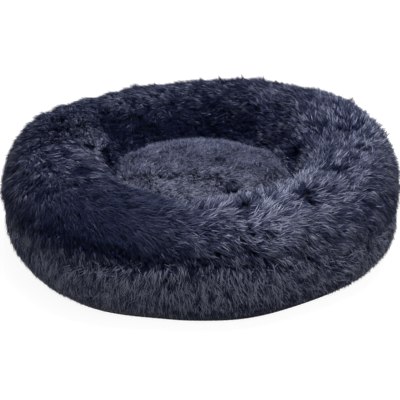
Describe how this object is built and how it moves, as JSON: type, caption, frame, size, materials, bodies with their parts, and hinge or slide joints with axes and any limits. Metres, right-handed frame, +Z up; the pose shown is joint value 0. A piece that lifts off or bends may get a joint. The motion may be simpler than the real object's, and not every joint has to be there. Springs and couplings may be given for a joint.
{
  "type": "pet bed",
  "caption": "Round stuffed plush bed for a dog: a soft bolster ring round a domed seat, with a zip in its cloth underside.",
  "frame": {"origin": "on the floor, under the middle of the bed's bounding box", "axes": "+Z up; -Y is the low front of the ring, +X is to the right as seen from the front"},
  "size_m": [0.5998, 0.5448, 0.1924],
  "materials": {
    "pile_cloth": "long shaggy pile with a soft sheen",
    "fibre_fill": "loose fibre",
    "lining_cloth": "plain weave",
    "binding_tape": "ribbed tape",
    "label_cloth": "smooth satin weave",
    "base_cloth": "plain weave with grip dots",
    "zip_tape": "twill tape",
    "zip_coil": "nylon, satin",
    "zip_metal": "satin"
  },
  "bodies": {
    "cover": {"ring_panel_back": "pile_cloth", "ring_panel_left": "pile_cloth", "ring_panel_front": "pile_cloth", "ring_panel_right": "pile_cloth", "side_band_back": "pile_cloth", "side_band_front": "pile_cloth", "seat_panel": "pile_cloth", "ring_stuffing": "fibre_fill", "seat_stuffing": "fibre_fill", "chamber_wall": "lining_cloth", "base_binding": "binding_tape", "care_label": "label_cloth", "base_panel_back": "base_cloth", "zip_tape_back": "zip_tape", "zip_coil_back": "zip_coil", "base_panel_front": "base_cloth", "zip_tape_front": "zip_tape", "zip_coil_front": "zip_coil", "zip_stop_left": "zip_metal", "zip_stop_right": "zip_metal"},
    "slider": {"zip_slider": "zip_metal"},
    "pull": {"zip_pull": "zip_metal"}
  },
  "joints": [
    {"name": "zip_slide", "type": "slide", "parent": "cover", "child": "slider", "axis": [1, 0, 0], "range_m": [-0.2674, 0]},
    {"name": "pull_flip", "type": "hinge", "parent": "slider", "child": "pull", "pos_m": [0.1337, 0, 0.003], "axis": [0, -1, 0], "range_deg": [0, 175]}
  ]
}
